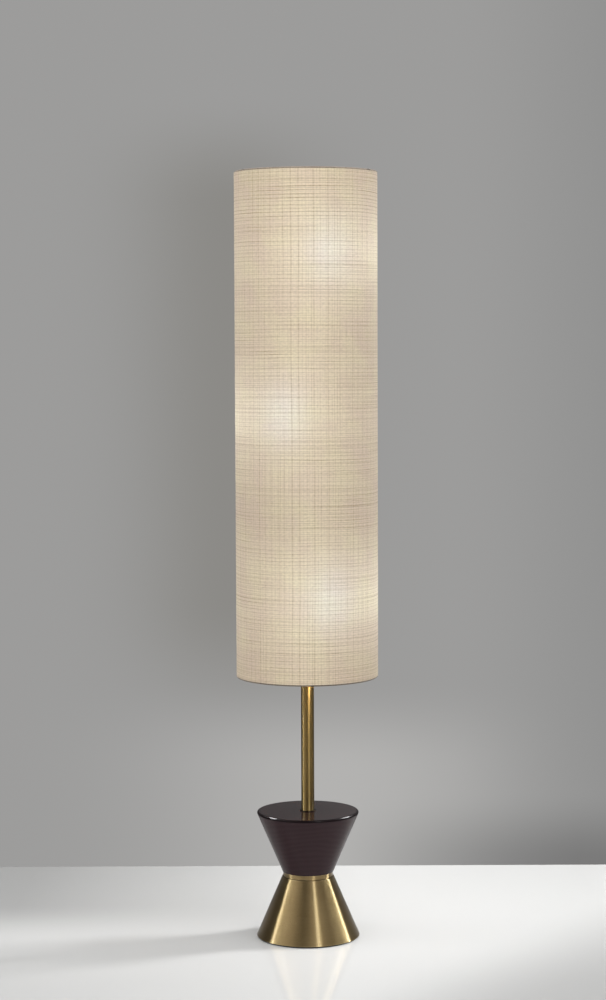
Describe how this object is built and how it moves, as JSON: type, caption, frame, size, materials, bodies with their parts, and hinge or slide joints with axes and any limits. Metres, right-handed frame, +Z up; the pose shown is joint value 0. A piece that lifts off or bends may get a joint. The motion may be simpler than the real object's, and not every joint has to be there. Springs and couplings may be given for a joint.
{
  "type": "column floor lamp",
  "caption": "Floor lamp with a tall drum shade on a brass pole over a base of two cones, wood above and weighted brass below.",
  "frame": {"origin": "on the floor, on the lamp's axis", "axes": "+Z up along the lamp's axis, +Y to the back, where the cord comes in, +X to the right"},
  "size_m": [0.275, 0.275, 1.486],
  "materials": {
    "pad_rubber": "matt",
    "plate_steel": "matt",
    "zinc_steel": "zinc plated",
    "iron": "rough",
    "antique_brass": "brushed, aged",
    "dark_wood": "satin",
    "dark_bronze": "aged dark",
    "pole_brass": "satin",
    "shell_brass": "bright",
    "lead_plastic": "satin",
    "splice_plastic": "satin",
    "woven_fabric": "woven, with slubs",
    "liner_plastic": "matt",
    "wire_steel": "satin",
    "phenolic": "satin",
    "cap_aluminium": "satin",
    "bulb_plastic": "satin",
    "bulb_glass": "frosted"
  },
  "bodies": {
    "stand": {"base_pad": "pad_rubber", "bottom_plate": "plate_steel", "plate_screws": "zinc_steel", "base_weight": "iron", "base_shell": "antique_brass", "cord_gland": "antique_brass", "waist_ring": "antique_brass", "wood_cone": "dark_wood", "foot_washer": "dark_bronze", "tie_rod": "zinc_steel", "rod_nut": "zinc_steel", "lock_washer": "zinc_steel", "flat_washer": "zinc_steel", "pole_foot_plug": "zinc_steel", "pole": "pole_brass", "pole_top_plug": "zinc_steel", "hub_lower": "antique_brass", "hub_middle": "antique_brass", "hub_upper": "antique_brass", "arm_lower": "antique_brass", "arm_middle": "antique_brass", "arm_upper": "antique_brass", "riser_lower": "antique_brass", "riser_middle": "antique_brass", "riser_upper": "antique_brass", "hub_set_screws": "zinc_steel", "shade_seat": "antique_brass", "socket_cap_lower": "shell_brass", "socket_cap_middle": "shell_brass", "socket_cap_upper": "shell_brass", "socket_body_lower": "phenolic", "socket_body_middle": "phenolic", "socket_body_upper": "phenolic", "screw_shells": "shell_brass", "centre_contacts": "shell_brass", "supply_lead": "lead_plastic", "riser_leads": "lead_plastic", "arm_leads": "lead_plastic", "base_splice_caps": "splice_plastic", "hub_splice_caps": "splice_plastic"},
    "shade": {"shade_fabric": "woven_fabric", "shade_liner": "liner_plastic", "hem_top": "woven_fabric", "hem_bottom": "woven_fabric", "top_ring": "wire_steel", "bottom_ring": "wire_steel", "spider": "wire_steel"},
    "finial": {"finial": "pole_brass"},
    "bulb_lower": {"bulb_cap_lower": "cap_aluminium", "bulb_housing_lower": "bulb_plastic", "bulb_globe_lower": "bulb_glass"},
    "bulb_middle": {"bulb_cap_middle": "cap_aluminium", "bulb_housing_middle": "bulb_plastic", "bulb_globe_middle": "bulb_glass"},
    "bulb_upper": {"bulb_cap_upper": "cap_aluminium", "bulb_housing_upper": "bulb_plastic", "bulb_globe_upper": "bulb_glass"}
  },
  "joints": [
    {"name": "shade_lift", "type": "slide", "parent": "stand", "child": "shade", "axis": [0, 0, 1], "range_m": [0, 0.97]},
    {"name": "finial_turn", "type": "hinge", "parent": "shade", "child": "finial", "pos_m": [0, 0, 1.4565], "axis": [0, 0, 1], "continuous": true},
    {"name": "bulb_lower_lift", "type": "slide", "parent": "stand", "child": "bulb_lower", "axis": [0, 0, 1], "range_m": [0, 0.03]},
    {"name": "bulb_middle_lift", "type": "slide", "parent": "stand", "child": "bulb_middle", "axis": [0, 0, 1], "range_m": [0, 0.03]},
    {"name": "bulb_upper_lift", "type": "slide", "parent": "stand", "child": "bulb_upper", "axis": [0, 0, 1], "range_m": [0, 0.03]}
  ]
}
